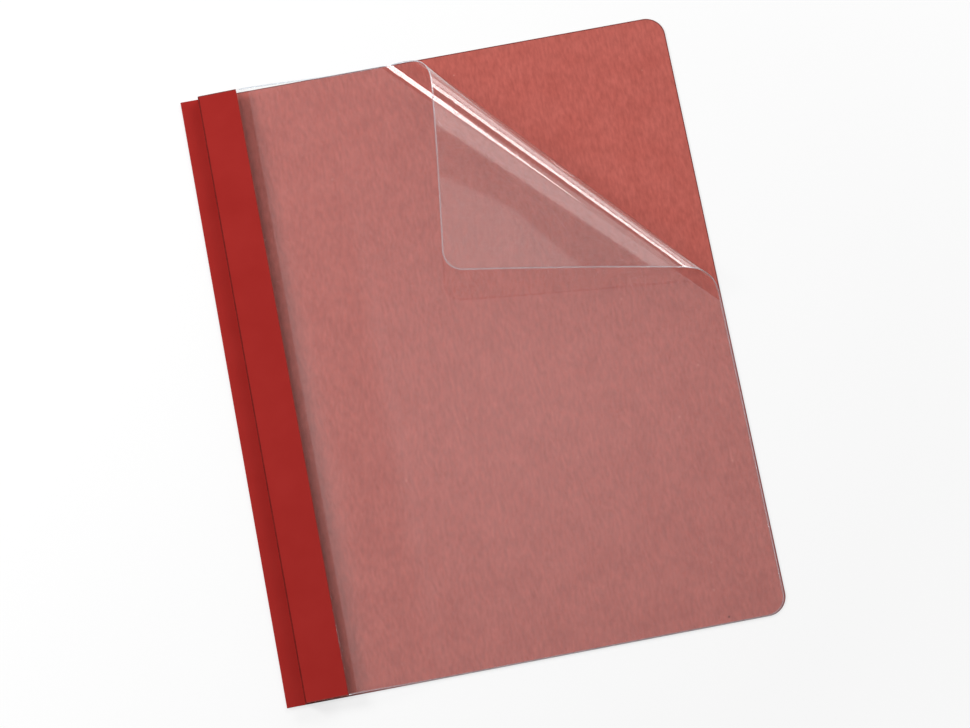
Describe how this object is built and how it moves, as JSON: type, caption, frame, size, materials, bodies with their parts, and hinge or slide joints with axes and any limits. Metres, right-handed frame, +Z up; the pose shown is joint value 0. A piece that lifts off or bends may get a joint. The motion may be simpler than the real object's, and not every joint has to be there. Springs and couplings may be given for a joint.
{
  "type": "report cover",
  "caption": "Letter-size report cover: folded card back with a hem and spine wall, prong fasteners, and a clear film front that opens at a crease.",
  "frame": {"origin": "centre of the back's footprint, on the surface that the cover lies on", "axes": "+Y towards the top edge, +X from the spine towards the open edge, +Z up through the front"},
  "size_m": [0.2286, 0.2858, 0.0317],
  "materials": {
    "cover_stock": "smooth dyed card, deep red outside and brick red inside",
    "inner_stock": "uncoated dyed card",
    "tin_plate": "tin-plated sheet steel",
    "clear_film": "clear glossy film"
  },
  "bodies": {
    "back": {"back_cover": "cover_stock", "binding_strip": "inner_stock", "fastener_top": "tin_plate", "fastener_middle": "tin_plate", "fastener_bottom": "tin_plate"},
    "front": {"front_hinge_strip": "cover_stock", "clear_front": "clear_film"}
  },
  "joints": [
    {"name": "front_opening", "type": "hinge", "parent": "back", "child": "front", "pos_m": [-0.10593, 0, 0.005], "axis": [0, -1, 0], "range_deg": [0, 170]}
  ]
}
